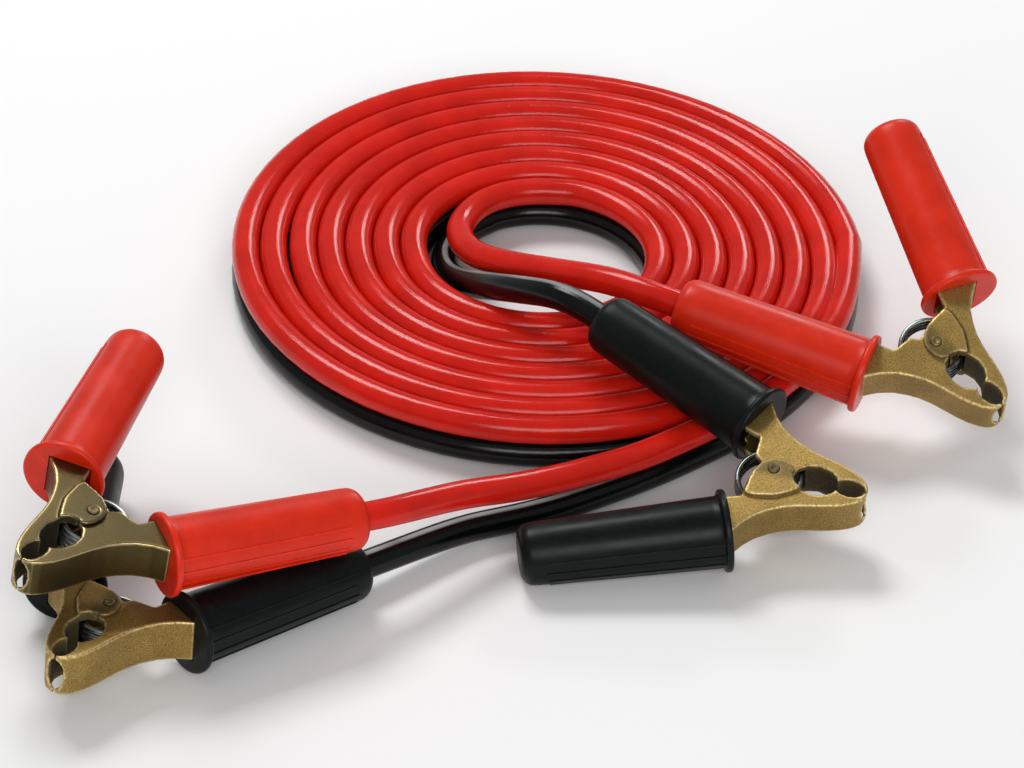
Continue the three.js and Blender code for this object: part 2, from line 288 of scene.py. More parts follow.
class Tree:
    """A short way to lay nodes and links in a node tree"""

    def __init__(self, tree):
        self.tree = tree

    def add(self, kind, inputs=None, **settings):
        node = self.tree.nodes.new(kind)
        for key, value in settings.items():
            setattr(node, key, value)
        for key, value in (inputs or {}).items():
            self.put(node.inputs[key], value)
        return node

    def put(self, socket, value):
        if isinstance(value, bpy.types.NodeSocket):
            self.tree.links.new(value, socket)
        elif isinstance(value, bpy.types.Node):
            self.tree.links.new(value.outputs[0], socket)
        else:
            socket.default_value = value

    def math(self, operation, a, b=0.0):
        return self.add("ShaderNodeMath", {0: a, 1: b}, operation=operation).outputs[0]

    def mix(self, factor, a, b):
        node = self.add("ShaderNodeMix", data_type="RGBA")
        self.put(node.inputs[0], factor)
        self.put(node.inputs[6], a)
        self.put(node.inputs[7], b)
        return node.outputs[2]

    def span(self, value, low, high, to_low=0.0, to_high=1.0):
        node = self.add("ShaderNodeMapRange", {0: value, 1: low, 2: high, 3: to_low, 4: to_high})
        return node.outputs[0]

    def attribute(self, name):
        return self.add("ShaderNodeAttribute", attribute_name=name).outputs["Fac"]


def colour(rgb):
    return (*rgb, 1.0)


def new_group(name, kind, inputs, outputs):
    group = bpy.data.node_groups.new(name, kind)
    for label, socket, default in inputs:
        made = group.interface.new_socket(label, in_out="INPUT", socket_type=socket)
        if default is not None:
            made.default_value = default
    for label, socket in outputs:
        group.interface.new_socket(label, in_out="OUTPUT", socket_type=socket)
    tree = Tree(group)
    return group, tree, tree.add("NodeGroupInput"), tree.add("NodeGroupOutput")


def group_once(name, make):
    return bpy.data.node_groups.get(name) or make(name)


def make_grain_group(name):
    """Fine and coarse noise at the object's own coordinates, as a height and a mask."""
    group, t, ins, outs = new_group(
        name, "ShaderNodeTree",
        [("Fine Scale", "NodeSocketFloat", 1500.0), ("Coarse Scale", "NodeSocketFloat", 200.0),
         ("Coarse Share", "NodeSocketFloat", 0.5)],
        [("Height", "NodeSocketFloat"), ("Mask", "NodeSocketFloat")])
    place = t.add("ShaderNodeTexCoord").outputs["Object"]
    fine = t.add("ShaderNodeTexNoise", {"Vector": place, "Scale": ins.outputs[0], "Detail": 4.0,
                                        "Roughness": 0.7})
    coarse = t.add("ShaderNodeTexNoise", {"Vector": place, "Scale": ins.outputs[1], "Detail": 3.0,
                                          "Roughness": 0.6})
    part = t.math("MULTIPLY", coarse.outputs[0], ins.outputs[2])
    t.put(outs.inputs[0], t.math("ADD", fine.outputs[0], part))
    t.put(outs.inputs[1], t.span(coarse.outputs[0], 0.38, 0.66))
    return group


def make_dust_group(name):
    """Pale dust on faces that look up, broken by noise."""
    group, t, ins, outs = new_group(
        name, "ShaderNodeTree",
        [("Amount", "NodeSocketFloat", 0.05), ("Scale", "NodeSocketFloat", 90.0)],
        [("Mask", "NodeSocketFloat")])
    place = t.add("ShaderNodeTexCoord").outputs["Object"]
    noise = t.add("ShaderNodeTexNoise", {"Vector": place, "Scale": ins.outputs[1], "Detail": 6.0,
                                         "Roughness": 0.75})
    normal = t.add("ShaderNodeNewGeometry").outputs["Normal"]
    up = t.add("ShaderNodeSeparateXYZ", {0: normal}).outputs[2]
    facing = t.span(up, 0.0, 1.0)
    spots = t.span(noise.outputs[0], 0.45, 0.75)
    t.put(outs.inputs[0], t.math("MULTIPLY", t.math("MULTIPLY", facing, spots), ins.outputs[0]))
    return group


def make_wear_and_highlight_group(name):
    """Bright worn edges, which on the brass also stand for painted edge highlights, and dark
    hollows, from the attributes that mark them.
    """
    group, t, ins, outs = new_group(
        name, "ShaderNodeTree",
        [("Break Scale", "NodeSocketFloat", 700.0), ("Break Depth", "NodeSocketFloat", 1.0)],
        [("Edge", "NodeSocketFloat"), ("Hollow", "NodeSocketFloat")])
    place = t.add("ShaderNodeTexCoord").outputs["Object"]
    noise = t.add("ShaderNodeTexNoise", {"Vector": place, "Scale": ins.outputs[0], "Detail": 4.0})
    whole = t.math("SUBTRACT", 1.0, ins.outputs[1])
    broken = t.math("MAXIMUM", t.span(noise.outputs[0], 0.3, 0.62), whole)
    edge = t.span(t.attribute("edge_wear"), 0.10, 0.55)
    t.put(outs.inputs[0], t.math("MULTIPLY", edge, broken))
    t.put(outs.inputs[1], t.span(t.attribute("edge_dip"), 0.08, 0.5))
    return group


def new_material(name):
    material = bpy.data.materials.new(name)
    material.use_nodes = True
    material.node_tree.nodes.clear()
    t = Tree(material.node_tree)
    shader = t.add("ShaderNodeBsdfPrincipled")
    out = t.add("ShaderNodeOutputMaterial")
    t.put(out.inputs[0], shader.outputs[0])
    return material, t, shader


def use_group(t, name, make, **inputs):
    node = t.add("ShaderNodeGroup")
    node.node_tree = group_once(name, make)
    for key, value in inputs.items():
        t.put(node.inputs[key.replace("_", " ").title()], value)
    return node


def sheath_material(name, base, line_tint):
    """Glossy soft vinyl with a faint ripple, and a pale line along the web: torn white where the
    web was split on the leads, and a painted highlight along the seam between the conductors in the
    coil.
    """
    material, t, shader = new_material(name)
    shader.inputs["IOR"].default_value = 1.52
    shader.inputs["Specular IOR Level"].default_value = 0.25
    grain = use_group(t, "surface_grain", make_grain_group, Fine_Scale=900.0, Coarse_Scale=45.0,
                      Coarse_Share=2.0)
    dust = use_group(t, "settled_dust", make_dust_group, Amount=0.05, Scale=240.0)
    deep = colour([c * 0.82 for c in base])
    tone = t.mix(grain.outputs["Mask"], deep, colour(base))
    tone = t.mix(dust.outputs["Mask"], tone, colour([min(1, c + 0.06) for c in base]))
    # Pale web line: torn vinyl on the leads, and a painted highlight along the seam in the coil
    tone = t.mix(t.attribute("torn_line"), tone, colour(line_tint))
    t.put(shader.inputs["Base Color"], tone)
    rough = t.span(grain.outputs["Mask"], 0, 1, 0.13, 0.2)
    rough = t.math("ADD", rough, t.math("MULTIPLY", t.attribute("torn_line"), 0.4))
    t.put(shader.inputs["Roughness"], rough)
    bump = t.add("ShaderNodeBump", {"Strength": 0.18, "Distance": 0.0003,
                                    "Height": grain.outputs["Height"]})
    t.put(shader.inputs["Normal"], bump)
    return material


def grip_material(name, base, gloss):
    """Satin moulded plastic with scuffs on its edges."""
    material, t, shader = new_material(name)
    shader.inputs["IOR"].default_value = 1.49
    shader.inputs["Specular IOR Level"].default_value = gloss
    grain = use_group(t, "surface_grain", make_grain_group, Fine_Scale=2600.0, Coarse_Scale=60.0,
                      Coarse_Share=0.6)
    dust = use_group(t, "settled_dust", make_dust_group, Amount=0.07, Scale=420.0)
    wear_and_highlight = use_group(t, "edge_marks", make_wear_and_highlight_group, Break_Scale=500.0)
    tone = t.mix(grain.outputs["Mask"], colour([c * 0.86 for c in base]), colour(base))
    tone = t.mix(dust.outputs["Mask"], tone, colour([min(1, c + 0.08) for c in base]))
    pale = colour([min(1, c * 1.4 + 0.012) for c in base])
    tone = t.mix(t.math("MULTIPLY", wear_and_highlight.outputs["Edge"], 0.45), tone, pale)
    tone = t.mix(t.math("MULTIPLY", wear_and_highlight.outputs["Hollow"], 0.6), tone,
                 colour([c * 0.4 for c in base]))
    t.put(shader.inputs["Base Color"], tone)
    t.put(shader.inputs["Roughness"], t.span(grain.outputs["Mask"], 0, 1, 0.30, 0.42))
    bump = t.add("ShaderNodeBump", {"Strength": 0.16, "Distance": 0.00012,
                                    "Height": grain.outputs["Height"]})
    t.put(shader.inputs["Normal"], bump)
    return material


def brass_material(name, base, dull):
    """Sand-cast brass: coarse grain, bright worn edges that are partly painted highlights, brown in
    its hollows and soot with painted shade in its mouth.

    Dull is 1 for brass that is polished smooth by handling, with hardly any grain.
    """
    material, t, shader = new_material(name)
    grain = use_group(t, "surface_grain", make_grain_group, Fine_Scale=2300.0, Coarse_Scale=200.0,
                      Coarse_Share=0.6)
    wear_and_highlight = use_group(t, "edge_marks", make_wear_and_highlight_group, Break_Scale=900.0,
                     Break_Depth=1.0 - 0.9 * dull)
    place = t.add("ShaderNodeTexCoord").outputs["Object"]
    specks = t.add("ShaderNodeTexNoise", {"Vector": place, "Scale": 2700.0, "Detail": 2.0,
                                          "Roughness": 0.8})
    blotch = t.add("ShaderNodeTexNoise", {"Vector": place, "Scale": 70.0, "Detail": 4.0})
    depth = 0.62 + 0.2 * dull
    brown = colour([c * depth * share for c, share in zip(base, (0.84, 0.80, 0.72))])
    gold = colour([min(1, c * (1.5 - 0.3 * dull)) for c in base])
    bright = colour((0.93, 0.72, 0.34))
    tone = t.mix(t.span(specks.outputs[0], 0.38, 0.62), brown, gold)
    tone = t.mix(t.span(blotch.outputs[0], 0.42, 0.68, 0, 0.4), tone, brown)
    # Bright edges: partly real wear, partly a painted highlight along the rounded edges
    tone = t.mix(t.math("MULTIPLY", wear_and_highlight.outputs["Edge"], 0.85 - 0.35 * dull), tone, bright)
    tone = t.mix(t.math("MULTIPLY", wear_and_highlight.outputs["Hollow"], 0.7), tone, (0.045, 0.032, 0.014, 1))
    tone = t.mix(t.math("MULTIPLY", t.attribute("ear_shade"), 0.62), tone,
                 (0.085, 0.072, 0.038, 1))
    # Soot and painted shade: darkens the mouth's inside and the spring's room
    soot_and_shade = t.math("MULTIPLY", t.attribute("soot_and_shade"), t.span(specks.outputs[0], 0.25, 0.6, 1.0, 0.8))
    tone = t.mix(soot_and_shade, tone, (0.010, 0.009, 0.006, 1))
    t.put(shader.inputs["Base Color"], tone)
    metal = t.math("SUBTRACT", 0.9, t.math("MULTIPLY", t.attribute("soot_and_shade"), 0.6))
    t.put(shader.inputs["Metallic"], metal)
    rough = t.span(specks.outputs[0], 0.3, 0.7, 0.58 - 0.2 * dull, 0.40 - 0.14 * dull)
    rough = t.math("SUBTRACT", rough, t.math("MULTIPLY", wear_and_highlight.outputs["Edge"], 0.1))
    rough = t.math("ADD", rough, t.math("MULTIPLY", t.attribute("soot_and_shade"), 0.3))
    t.put(shader.inputs["Roughness"], rough)
    bump = t.add("ShaderNodeBump", {"Strength": 0.55 - 0.4 * dull, "Distance": 0.00022,
                                    "Height": grain.outputs["Height"]})
    t.put(shader.inputs["Normal"], bump)
    return material


def zinc_material(name):
    """Zinc-plated spring wire with fine drawing marks."""
    material, t, shader = new_material(name)
    shader.inputs["Metallic"].default_value = 1.0
    grain = use_group(t, "surface_grain", make_grain_group, Fine_Scale=1800.0, Coarse_Scale=120.0,
                      Coarse_Share=0.8)
    tone = t.mix(grain.outputs["Mask"], (0.13, 0.15, 0.145, 1), (0.40, 0.44, 0.43, 1))
    t.put(shader.inputs["Base Color"], tone)
    t.put(shader.inputs["Roughness"], t.span(grain.outputs["Mask"], 0, 1, 0.22, 0.38))
    bump = t.add("ShaderNodeBump", {"Strength": 0.2, "Distance": 0.0001,
                                    "Height": grain.outputs["Height"]})
    t.put(shader.inputs["Normal"], bump)
    return material


def rivet_material(name):
    """Dull peened brass pin."""
    material, t, shader = new_material(name)
    grain = use_group(t, "surface_grain", make_grain_group, Fine_Scale=1400.0, Coarse_Scale=320.0,
                      Coarse_Share=0.8)
    tone = t.mix(grain.outputs["Mask"], (0.10, 0.078, 0.036, 1), (0.27, 0.205, 0.09, 1))
    t.put(shader.inputs["Base Color"], tone)
    t.put(shader.inputs["Metallic"], t.span(grain.outputs["Mask"], 0, 1, 0.7, 1.0))
    t.put(shader.inputs["Roughness"], t.span(grain.outputs["Mask"], 0, 1, 0.65, 0.45))
    bump = t.add("ShaderNodeBump", {"Strength": 0.45, "Distance": 0.0002,
                                    "Height": grain.outputs["Height"]})
    t.put(shader.inputs["Normal"], bump)
    return material


def material_once(name, make, *args):
    return bpy.data.materials.get(name) or make(name, *args)


def sweep_group(name):
    """Geometry nodes: a round bar along a line of points, with how far along and around it is."""
    group, t, ins, outs = new_group(
        name, "GeometryNodeTree",
        [("Geometry", "NodeSocketGeometry", None), ("Radius", "NodeSocketFloat", 0.005),
         ("Facets", "NodeSocketInt", 24), ("Material", "NodeSocketMaterial", None)],
        [("Geometry", "NodeSocketGeometry")])
    line = t.add("GeometryNodeMeshToCurve", {"Mesh": ins.outputs[0]})
    upright = t.add("GeometryNodeSetCurveNormal", {"Curve": line})
    upright.mode = "Z_UP"
    along = t.add("GeometryNodeSplineParameter")
    marked = t.add("GeometryNodeStoreNamedAttribute",
                   {"Geometry": upright, "Name": "along", "Value": along.outputs["Length"]},
                   data_type="FLOAT", domain="POINT")
    ring = t.add("GeometryNodeCurvePrimitiveCircle",
                 {"Resolution": ins.outputs[2], "Radius": ins.outputs[1]})
    around = t.add("GeometryNodeSplineParameter")
    ring_marked = t.add("GeometryNodeStoreNamedAttribute",
                        {"Geometry": ring, "Name": "around", "Value": around.outputs["Factor"]},
                        data_type="FLOAT", domain="POINT")
    tube = t.add("GeometryNodeCurveToMesh", {"Curve": marked, "Profile Curve": ring_marked,
                                             "Fill Caps": True})
    realized = t.add("GeometryNodeRealizeInstances", {"Geometry": tube})
    painted = t.add("GeometryNodeSetMaterial", {"Geometry": realized, "Material": ins.outputs[3]})
    t.put(outs.inputs[0], painted)
    return group


def run_nodes(obj, group, **values):
    """Runs a geometry node tree on an object and gives the plain mesh that it makes."""
    modifier = obj.modifiers.new(group.name, "NODES")
    modifier.node_group = group
    for item in group.interface.items_tree:
        key = item.name.replace(" ", "_").lower()
        if item.item_type == "SOCKET" and item.in_out == "INPUT" and key in values:
            modifier[item.identifier] = values[key]
    return evaluated_mesh(obj)


def swept_bar(name, points, radius, facets, material):
    """A round bar through the points. Its mesh has one ring for each point."""
    mesh = bpy.data.meshes.new(name + "_line")
    mesh.from_pydata([tuple(p) for p in points], [(i, i + 1) for i in range(len(points) - 1)], [])
    line = new_object(name + "_line", mesh)
    made = run_nodes(line, group_once("swept_bar", sweep_group), radius=radius, facets=facets,
                     material=material)
    drop(line)
    shade_smooth(made)
    return made


def catmull(points, spacing):
    """A centripetal curve through the points, with a point about every spacing along it."""
    p = np.array(points, float)
    p = np.vstack([2 * p[0] - p[1], p, 2 * p[-1] - p[-2]])
    out = []
    for i in range(1, len(p) - 2):
        p0, p1, p2, p3 = p[i - 1], p[i], p[i + 1], p[i + 2]
        knots = np.cumsum([0] + [max(np.linalg.norm(b - a), 1e-9) ** 0.5
                                 for a, b in ((p0, p1), (p1, p2), (p2, p3))])
        t0, t1, t2, t3 = knots
        count = max(1, round(np.linalg.norm(p2 - p1) / spacing))
        for t in np.linspace(t1, t2, count, endpoint=False):
            a1 = (t1 - t) / (t1 - t0) * p0 + (t - t0) / (t1 - t0) * p1
            a2 = (t2 - t) / (t2 - t1) * p1 + (t - t1) / (t2 - t1) * p2
            a3 = (t3 - t) / (t3 - t2) * p2 + (t - t2) / (t3 - t2) * p3
            b1 = (t2 - t) / (t2 - t0) * a1 + (t - t0) / (t2 - t0) * a2
            b2 = (t3 - t) / (t3 - t1) * a2 + (t - t1) / (t3 - t1) * a3
            out.append((t2 - t) / (t2 - t1) * b1 + (t - t1) / (t2 - t1) * b2)
    out.append(p[-2])
    return np.array(out)


def in_grip(clamp, *distances):
    """Points on a cable half's grip axis, at distances from its front face in metres."""
    place = clamp_matrix(clamp) @ grip_matrix(1)
    return [np.array(place @ Vector((d, 0, 0))) for d in distances]


def lead_points(route):
    return [np.array((x * MM + SPIRAL_CENTRE[0], y * MM + SPIRAL_CENTRE[1], z * MM))
            for x, y, z in route]


def spiral_points(sizes, height, end):
    turns = (end - SPIRAL_START) / (2 * math.pi)
    angles = np.linspace(end, SPIRAL_START, round(turns * STEPS_A_TURN))
    radius = sizes.outer_radius - sizes.pitch * angles / (2 * math.pi)
    from_left = np.degrees((angles - SLACK_ANGLE + math.pi) % (2 * math.pi) - math.pi)
    radius -= sizes.slack * np.exp(-(from_left / SLACK_SPREAD) ** 2) * (angles > SLACK_FROM)
    return np.column_stack([SPIRAL_CENTRE[0] + radius * np.cos(angles),
                            SPIRAL_CENTRE[1] + radius * np.sin(angles),
                            np.full_like(angles, height)])


def conductor_path(sizes, height, end, inner, inner_clamp, outer, outer_clamp):
    """One conductor's whole line, from inside one grip round the coil to inside the other."""
    inside = (HANDLE_LENGTH + 3 * MM, GRIP_LENGTH - 6 * MM, GRIP_LENGTH + 3 * MM,
              GRIP_LENGTH + 10 * MM)
    spiral = spiral_points(sizes, height, end)
    first = catmull(in_grip(inner_clamp, *inside) + lead_points(inner)[::-1] + [spiral[0]],
                    LEAD_SPACING)
    last = catmull([spiral[-1]] + lead_points(outer) + in_grip(outer_clamp, *inside[::-1]),
                   LEAD_SPACING)
    path = np.vstack([first[:-1], spiral, last[1:]])
    # Smooths most where a lead leaves the coil, and less along the leads
    join_in, join_out, stop = len(first), len(path) - len(last), len(path)
    spans = [(join_in - 10, join_in + 10, 12), (8, join_in - 10, 4),
             (join_out - 10, join_out + 10, 12), (join_out + 10, stop - 8, 4)]
    for low, high, passes in spans:
        for _ in range(passes):
            path[low:high] = 0.5 * path[low:high] + 0.25 * (path[low - 1:high - 1]
                                                            + path[low + 1:high + 1])
    return path, join_in, join_in + len(spiral)


class JUMPER_OT_conductors(bpy.types.Operator):
    """Winds both conductors from grip to grip"""

    bl_idname = "jumper.conductors"
    bl_label = "Conductors"

    RAG_SEEDS = {-1: 7, 1: 8}

    def execute(self, context):
        sizes = context.scene.jumper_cable
        colours = context.scene.jumper_colours
        radius = sizes.diameter / 2
        red = material_once("red_vinyl", sheath_material, colours.red_sheath, (0.85, 0.55, 0.5))
        black = material_once("black_vinyl", sheath_material, colours.black_sheath,
                              (0.36, 0.38, 0.37))
        kinds = {
            "red": (red, -1, RED_HEIGHT, SPIRAL_END["red"], INNER_RED, "red_far", OUTER_RED,
                    "red_left"),
            "black": (black, 1, BLACK_HEIGHT, SPIRAL_END["black"], INNER_BLACK, "black_near",
                      OUTER_BLACK, "black_left"),
        }
        for shade, (material, web_side, *course) in kinds.items():
            path, coil_start, coil_end = conductor_path(sizes, *course)
            name = f"{shade}_conductor"
            mesh = swept_bar(name, path, radius, sizes.facets, material)
            self.mark_web(mesh, path, coil_start, coil_end, web_side)
            obj = new_object(name, mesh)
            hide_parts(f"{shade}_coil", f"{shade}_lead_inner", f"{shade}_lead_outer")
            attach(obj, ROOT_BODY)
        return {"FINISHED"}

    def mark_web(self, mesh, path, coil_start, coil_end, side):
        """Raises the web between the conductors, whole in the coil and torn along the leads."""
        co = points_of(mesh)
        facets = round(len(co) / len(path))
        index = np.minimum(np.arange(len(co)) // facets, len(path) - 1)
        along = np.gradient(path, axis=0)
        along /= np.linalg.norm(along, axis=1)[:, None]
        up = np.array([0, 0, 1.0]) - along * along[:, 2:]
        up /= np.linalg.norm(up, axis=1)[:, None]
        out = co - path[index]
        out /= np.linalg.norm(out, axis=1)[:, None] + 1e-12
        towards = np.degrees(np.arccos(np.clip((out * up[index]).sum(1) * side, -1, 1)))
        rng = np.random.default_rng(self.RAG_SEEDS[side])
        rag = np.convolve(rng.random(len(path) + 4), np.ones(3) / 3, "same")[: len(path)][index]
        fade = np.ones(len(path))
        fade[coil_start:coil_end] = 0
        fade = np.convolve(np.pad(fade, 6, mode="edge"), np.ones(13) / 13, "valid")[index]
        ridge = 1 - smoothstep(towards, 4, 15)
        height = (0.05 + fade * (0.15 + 0.25 * rag)) * MM
        set_points(mesh, co + out * (ridge * height)[:, None])
        # Pale line along the web: real tearing on the leads, and a painted highlight along the seam
        # in the coil
        near = 1 - smoothstep(towards, 5 + 3 * rag, 10 + 5 * rag)
        store(mesh, "torn_line", near * (0.35 + fade * (0.1 + 0.55 * rag)))


class JUMPER_OT_brass(bpy.types.Operator):
    """Rounds the cast brass halves and gives them their grain, their wear with painted edge
    highlights, and soot with painted shade
    """

    bl_idname = "jumper.brass"
    bl_label = "Brass halves"

    VOXEL = 0.42 * MM
    SOFTEN_PASSES = 8
    KEPT_SHARE = 0.55
    # Hollows of the mouth in millimetres: middle, half length and half height
    LARGE_HOLLOW = (16.8, 9.0, 6.9)
    SMALL_HOLLOW = (30.4, 6.2, 3.9)

    def execute(self, context):
        colours = context.scene.jumper_colours
        for half in ("cable_jaw", "free_jaw"):
            local = self.rounded(half)
            for clamp in CLAMP_NAMES:
                mesh = local.copy()
                mesh.transform(clamp_matrix(clamp))
                dull = clamp == "red_left"
                brass = material_once("dull_cast_brass" if dull else "cast_brass", brass_material,
                                      colours.dull_brass if dull else colours.brass,
                                      1.0 if dull else 0.0)
                mesh.materials.clear()
                mesh.materials.append(brass)
                obj = new_object(f"{clamp}_{half}_cast", mesh)
                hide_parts(f"{clamp}_{half}")
                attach(obj, ROOT_BODY if half == "cable_jaw" else f"{clamp}_free_half")
            bpy.data.meshes.remove(local)
        return {"FINISHED"}

    def rounded(self, half):
        source = frame["nodes"][f"black_near_{half}"]
        mesh = source.data.copy()
        mesh.transform(clamp_matrix("black_near").inverted())
        obj = new_object(half + "_work", mesh)
        remesh = obj.modifiers.new("Remesh", "REMESH")
        remesh.mode = "VOXEL"
        remesh.voxel_size = self.VOXEL
        soften = obj.modifiers.new("Soften", "SMOOTH")
        soften.factor = 0.5
        soften.iterations = self.SOFTEN_PASSES
        made = evaluated_mesh(obj)
        drop(obj)
        shade_smooth(made)
        store_edge_wear_and_highlight(made)
        self.store_marks(made)
        work = new_object(half + "_thin", made)
        thin = work.modifiers.new("Thin", "DECIMATE")
        thin.ratio = self.KEPT_SHARE
        result = evaluated_mesh(work)
        drop(work)
        shade_smooth(result)
        return result

    def store_marks(self, mesh):
        """Soot with painted shade inside the mouth and the spring's room, darker towards the
        middle, and a darker half-disc at the far end of each ear.
        """
        co = points_of(mesh) / MM
        x, y, z = co.T
        normals = np.array([v.normal for v in mesh.vertices])
        large, small = (np.hypot((x - middle) / long, y / high)
                        for middle, long, high in (self.LARGE_HOLLOW, self.SMALL_HOLLOW))
        inside = 1 - smoothstep(np.minimum(large, small), 1.03, 1.2)
        # Painted shade: the spring's room between the walls is darkened
        room = (1 - smoothstep(np.abs(z), 5.8, 6.6)) * (1 - smoothstep(np.abs(y), 12, 16))
        flat = smoothstep(np.abs(normals[:, 2]), 0.5, 0.9)
        # Painted shade: darker deeper in the mouth, towards the middle between its walls
        depth = 1 - 0.3 * smoothstep(np.abs(z), 4, 8.6)
        soot_and_shade = np.maximum(inside * (1 - flat) * depth, room * (1 - smoothstep(x, 24, 30)))
        facing_out = smoothstep(normals[:, 1] * np.sign(y), 0.1, 0.5) * smoothstep(np.abs(y), 7, 9)
        store(mesh, "soot_and_shade", np.clip(soot_and_shade * (1 - facing_out), 0, 1))
        ear = (1 - smoothstep(np.hypot(x, y + 0.5), 8.2, 9.2)) * smoothstep(np.abs(z), 9.2, 9.9)
        store(mesh, "ear_shade", ear * smoothstep(y, -6, -1))


def rib_group(name):
    """Geometry nodes: fine raised lines along one side of a tapered grip."""
    group, t, ins, outs = new_group(
        name, "GeometryNodeTree",
        [("Geometry", "NodeSocketGeometry", None), ("Count", "NodeSocketInt", 4),
         ("Spacing", "NodeSocketFloat", 0.384), ("Radius", "NodeSocketFloat", 0.013),
         ("Taper", "NodeSocketFloat", 0.024), ("Start", "NodeSocketFloat", 0.0025),
         ("Length", "NodeSocketFloat", 0.071), ("Seed", "NodeSocketInt", 3),
         ("Material", "NodeSocketMaterial", None)],
        [("Geometry", "NodeSocketGeometry")])
    line = t.add("GeometryNodeMeshLine", {"Count": ins.outputs["Count"]})
    index = t.add("GeometryNodeInputIndex").outputs[0]
    middle = t.math("DIVIDE", t.math("SUBTRACT", ins.outputs["Count"], 1.0), 2.0)
    angle = t.math("MULTIPLY", t.math("SUBTRACT", index, middle), ins.outputs["Spacing"])
    chance = t.add("FunctionNodeRandomValue", {2: 0.96, 3: 1.0, 8: ins.outputs["Seed"]},
                   data_type="FLOAT")
    length = t.math("MULTIPLY", ins.outputs["Length"], chance.outputs[1])
    centre = t.math("ADD", ins.outputs["Start"], t.math("MULTIPLY", length, 0.5))
    radius = t.math("SUBTRACT", ins.outputs["Radius"],
                    t.math("MULTIPLY", centre, ins.outputs["Taper"]))
    cosine, sine = t.math("COSINE", angle), t.math("SINE", angle)
    place = t.add("ShaderNodeCombineXYZ", {0: centre, 1: t.math("MULTIPLY", radius, cosine),
                                           2: t.math("MULTIPLY", radius, sine)})
    placed = t.add("GeometryNodeSetPosition", {"Geometry": line, "Position": place.outputs[0]})
    rib = t.add("GeometryNodeMeshCube", {"Size": (1, 1, 1), "Vertices X": 2, "Vertices Y": 4,
                                         "Vertices Z": 4})
    turn = t.add("ShaderNodeCombineXYZ", {
        0: angle, 1: t.math("MULTIPLY", sine, ins.outputs["Taper"]),
        2: t.math("MULTIPLY", t.math("MULTIPLY", cosine, ins.outputs["Taper"]), -1.0)})
    size = t.add("ShaderNodeCombineXYZ", {0: length, 1: 0.9 * MM, 2: 0.7 * MM})
    placed_ribs = t.add("GeometryNodeInstanceOnPoints",
                        {"Points": placed, "Instance": rib.outputs[0],
                         "Rotation": turn.outputs[0], "Scale": size.outputs[0]})
    realized = t.add("GeometryNodeRealizeInstances", {"Geometry": placed_ribs})
    joined = t.add("GeometryNodeJoinGeometry")
    t.put(joined.inputs[0], realized)
    t.put(joined.inputs[0], ins.outputs["Geometry"])
    painted = t.add("GeometryNodeSetMaterial", {"Geometry": joined,
                                                "Material": ins.outputs["Material"]})
    t.put(outs.inputs[0], painted)
    return group


def lathe(name, profile, segments):
    """A closed turned mesh about X from (along, radius) pairs that start and end on the axis."""
    bm = bmesh.new()
    rings = []
    for along, radius in profile:
        if radius < 1e-7:
            rings.append([bm.verts.new((along, 0, 0))])
        else:
            rings.append([bm.verts.new((along, radius * math.cos(a), radius * math.sin(a)))
                          for a in np.linspace(0, 2 * math.pi, segments, endpoint=False)])
    for low, high in zip(rings, rings[1:]):
        for i in range(segments):
            j = (i + 1) % segments
            corners = [low[i % len(low)], high[i % len(high)], high[j % len(high)],
                       low[j % len(low)]]
            kept = list(dict.fromkeys(corners))
            if len(kept) > 2:
                bm.faces.new(kept)
    bmesh.ops.recalc_face_normals(bm, faces=bm.faces)
    mesh = bpy.data.meshes.new(name)
    bm.to_mesh(mesh)
    bm.free()
    return mesh


def rounded_corner(x, r, size, start, end, steps=4):
    """Points of a quarter round about (x, r), from start to end degrees."""
    return [(x + size * math.cos(a), r + size * math.sin(a))
            for a in np.radians(np.linspace(start, end, steps + 1))]


